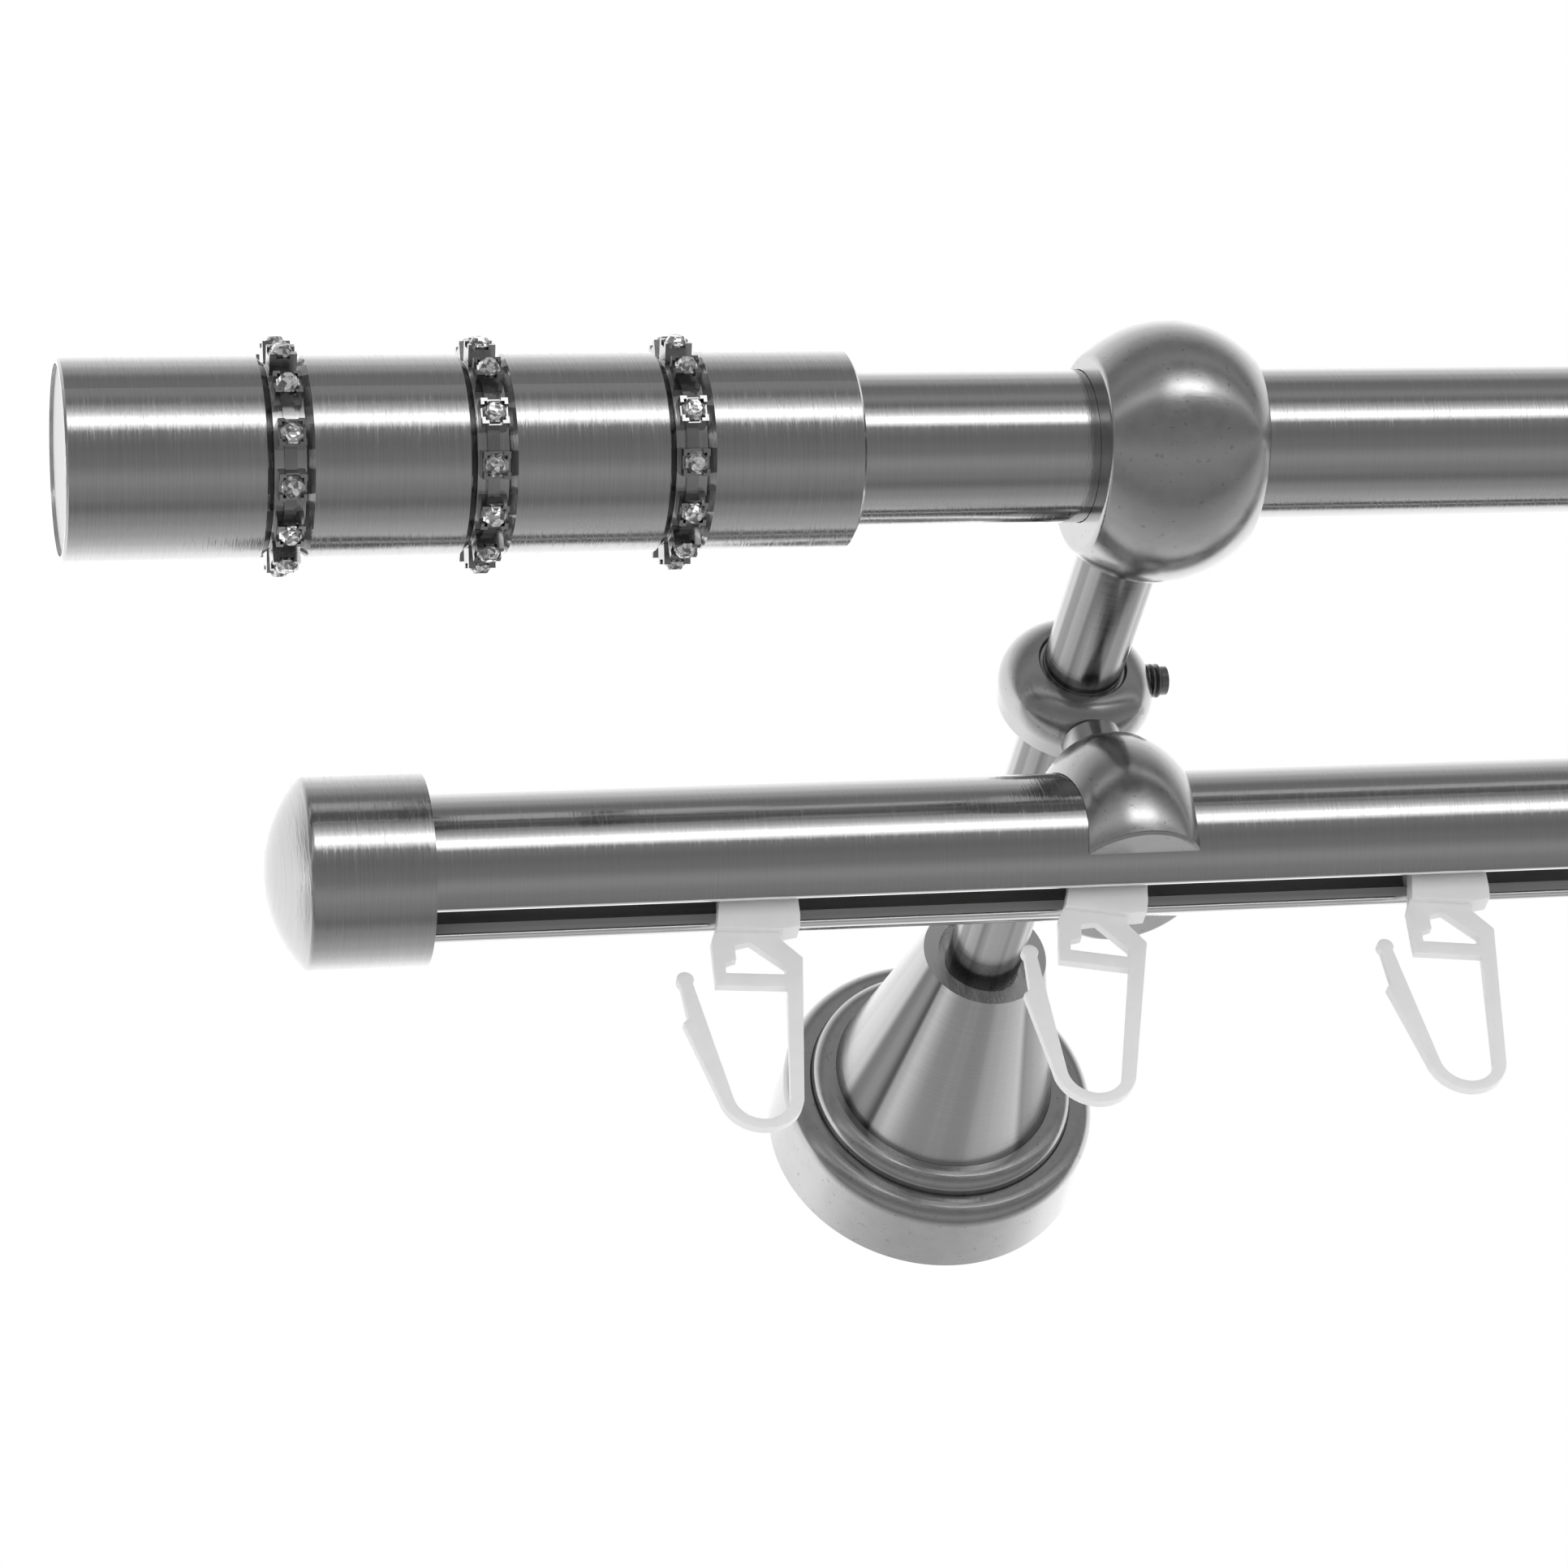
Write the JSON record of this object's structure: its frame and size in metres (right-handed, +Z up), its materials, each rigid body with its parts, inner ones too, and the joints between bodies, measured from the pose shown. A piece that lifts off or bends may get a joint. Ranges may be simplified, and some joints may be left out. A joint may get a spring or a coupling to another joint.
{
  "type": "double curtain pole",
  "caption": "Double curtain pole on wall brackets: a front tube with jewelled cylinder finials and a slotted rear rail with hook gliders and domed caps.",
  "frame": {"origin": "centre of the left wall plate, on the wall plane", "axes": "+X along the poles from the left bracket to the right one, +Y into the wall, +Z up"},
  "size_m": [0.8392, 0.2237, 0.1223],
  "materials": {
    "brushed_steel": "satin",
    "turned_steel": "satin",
    "satin_cast": "satin",
    "zinc_plate": "satin",
    "screw_steel": "satin",
    "pale_disc": "matte",
    "bush_plastic": "matte",
    "chain_metal": "gloss",
    "cut_glass": "gloss",
    "glider_plastic": "satin"
  },
  "bodies": {
    "brackets_and_front_pole": {"left_wall_plate": "zinc_plate", "left_flange": "satin_cast", "left_flange_grub": "screw_steel", "left_cone": "turned_steel", "left_arm": "brushed_steel", "left_tie_screw": "screw_steel", "left_front_holder": "satin_cast", "left_front_grub": "screw_steel", "left_finial_sleeve": "turned_steel", "left_finial_end_disc": "pale_disc", "left_finial_bush": "bush_plastic", "left_finial_chain_1": "chain_metal", "left_finial_stones_1": "cut_glass", "left_finial_chain_2": "chain_metal", "left_finial_stones_2": "cut_glass", "left_finial_chain_3": "chain_metal", "left_finial_stones_3": "cut_glass", "right_wall_plate": "zinc_plate", "right_flange": "satin_cast", "right_flange_grub": "screw_steel", "right_cone": "turned_steel", "right_arm": "brushed_steel", "right_tie_screw": "screw_steel", "right_front_holder": "satin_cast", "right_front_grub": "screw_steel", "right_finial_sleeve": "turned_steel", "right_finial_end_disc": "pale_disc", "right_finial_bush": "bush_plastic", "right_finial_chain_1": "chain_metal", "right_finial_stones_1": "cut_glass", "right_finial_chain_2": "chain_metal", "right_finial_stones_2": "cut_glass", "right_finial_chain_3": "chain_metal", "right_finial_stones_3": "cut_glass", "front_pole": "brushed_steel"},
    "rear_rail": {"left_collar": "satin_cast", "left_collar_screw": "screw_steel", "left_rear_holder": "satin_cast", "left_rear_holder_screw": "screw_steel", "left_end_cap": "turned_steel", "right_collar": "satin_cast", "right_collar_screw": "screw_steel", "right_rear_holder": "satin_cast", "right_rear_holder_screw": "screw_steel", "right_end_cap": "turned_steel", "rear_track": "brushed_steel"},
    "glider_01_body": {"glider_01": "glider_plastic"},
    "glider_02_body": {"glider_02": "glider_plastic"},
    "glider_03_body": {"glider_03": "glider_plastic"},
    "glider_04_body": {"glider_04": "glider_plastic"},
    "glider_05_body": {"glider_05": "glider_plastic"},
    "glider_06_body": {"glider_06": "glider_plastic"},
    "glider_07_body": {"glider_07": "glider_plastic"},
    "glider_08_body": {"glider_08": "glider_plastic"},
    "glider_09_body": {"glider_09": "glider_plastic"},
    "glider_10_body": {"glider_10": "glider_plastic"},
    "glider_11_body": {"glider_11": "glider_plastic"}
  },
  "joints": [
    {"name": "rear_rail_depth", "type": "slide", "parent": "brackets_and_front_pole", "child": "rear_rail", "axis": [0, 1, 0], "range_m": [-0.025, 0.055]},
    {"name": "glider_01_run", "type": "slide", "parent": "rear_rail", "child": "glider_01_body", "axis": [1, 0, 0], "range_m": [-0.015, 0.015]},
    {"name": "glider_02_run", "type": "slide", "parent": "rear_rail", "child": "glider_02_body", "axis": [1, 0, 0], "range_m": [-0.015, 0.015]},
    {"name": "glider_03_run", "type": "slide", "parent": "rear_rail", "child": "glider_03_body", "axis": [1, 0, 0], "range_m": [-0.015, 0.015]},
    {"name": "glider_04_run", "type": "slide", "parent": "rear_rail", "child": "glider_04_body", "axis": [1, 0, 0], "range_m": [-0.015, 0.015]},
    {"name": "glider_05_run", "type": "slide", "parent": "rear_rail", "child": "glider_05_body", "axis": [1, 0, 0], "range_m": [-0.015, 0.015]},
    {"name": "glider_06_run", "type": "slide", "parent": "rear_rail", "child": "glider_06_body", "axis": [1, 0, 0], "range_m": [-0.015, 0.015]},
    {"name": "glider_07_run", "type": "slide", "parent": "rear_rail", "child": "glider_07_body", "axis": [1, 0, 0], "range_m": [-0.015, 0.015]},
    {"name": "glider_08_run", "type": "slide", "parent": "rear_rail", "child": "glider_08_body", "axis": [1, 0, 0], "range_m": [-0.015, 0.015]},
    {"name": "glider_09_run", "type": "slide", "parent": "rear_rail", "child": "glider_09_body", "axis": [1, 0, 0], "range_m": [-0.015, 0.015]},
    {"name": "glider_10_run", "type": "slide", "parent": "rear_rail", "child": "glider_10_body", "axis": [1, 0, 0], "range_m": [-0.015, 0.015]},
    {"name": "glider_11_run", "type": "slide", "parent": "rear_rail", "child": "glider_11_body", "axis": [1, 0, 0], "range_m": [-0.015, 0.015]}
  ]
}
